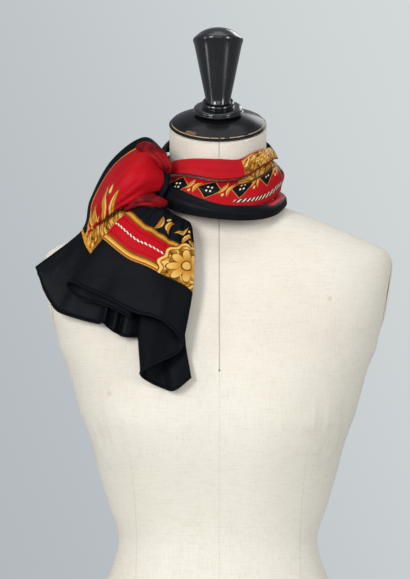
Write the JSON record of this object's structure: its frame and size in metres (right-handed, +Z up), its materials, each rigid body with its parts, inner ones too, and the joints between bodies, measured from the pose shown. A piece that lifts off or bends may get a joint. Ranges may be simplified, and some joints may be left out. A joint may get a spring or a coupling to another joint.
{
  "type": "silk square scarf on a dress form",
  "caption": "Silk square scarf folded into a band, wound round the neck of a limbless dress form and knotted at the side with a pleated tail",
  "frame": {"origin": "centre of the flat underside of the dress form", "axes": "+Z up, the form faces -Y, +X is the viewer's right"},
  "size_m": [0.4061, 0.2647, 0.8074],
  "materials": {
    "linen": "plain woven canvas",
    "lacquer": "gloss black lacquer on turned wood",
    "silk_red": "printed silk twill, red ground",
    "silk_pattern": "printed silk twill, gold and red pattern",
    "silk_black": "printed silk twill, black border"
  },
  "bodies": {
    "root": {"torso": "linen", "arm_plate_left": "linen", "arm_plate_right": "linen", "neck_cap": "lacquer", "cap_ring": "lacquer", "knob": "lacquer", "band_upper": "silk_red", "band_middle": "silk_pattern", "band_lower": "silk_black", "knot": "silk_red", "tail_puff": "silk_red", "tail_front": "silk_black"}
  },
  "joints": []
}
